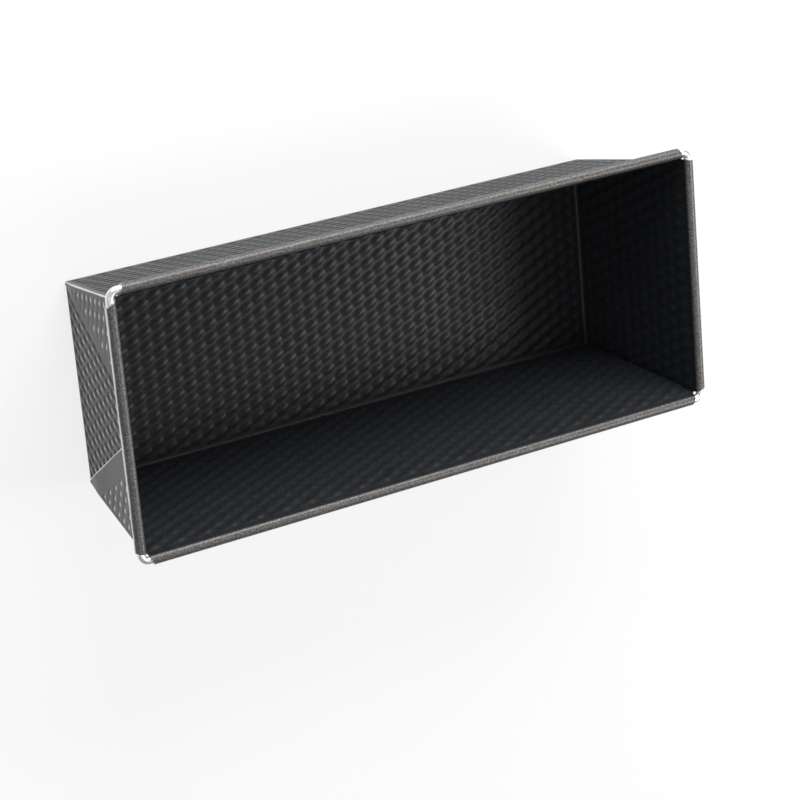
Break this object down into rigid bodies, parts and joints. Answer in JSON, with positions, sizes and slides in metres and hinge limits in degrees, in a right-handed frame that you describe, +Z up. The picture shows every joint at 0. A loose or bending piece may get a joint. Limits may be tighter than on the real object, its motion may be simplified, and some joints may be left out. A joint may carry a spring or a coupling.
{
  "type": "loaf pan",
  "caption": "Open folded sheet-steel loaf pan with tapered walls, envelope-folded corners and a rim rolled round a wire.",
  "frame": {"origin": "middle of the base's underside, where the pan stands", "axes": "+Z up, out of the mouth; X along the pan's length; Y across its width"},
  "size_m": [0.3054, 0.1262, 0.077],
  "materials": {
    "coated_steel": "satin non-stick coating",
    "steel_wire": "bright drawn wire"
  },
  "bodies": {
    "root": {"pan_body": "coated_steel", "rim_wire": "steel_wire"}
  },
  "joints": []
}
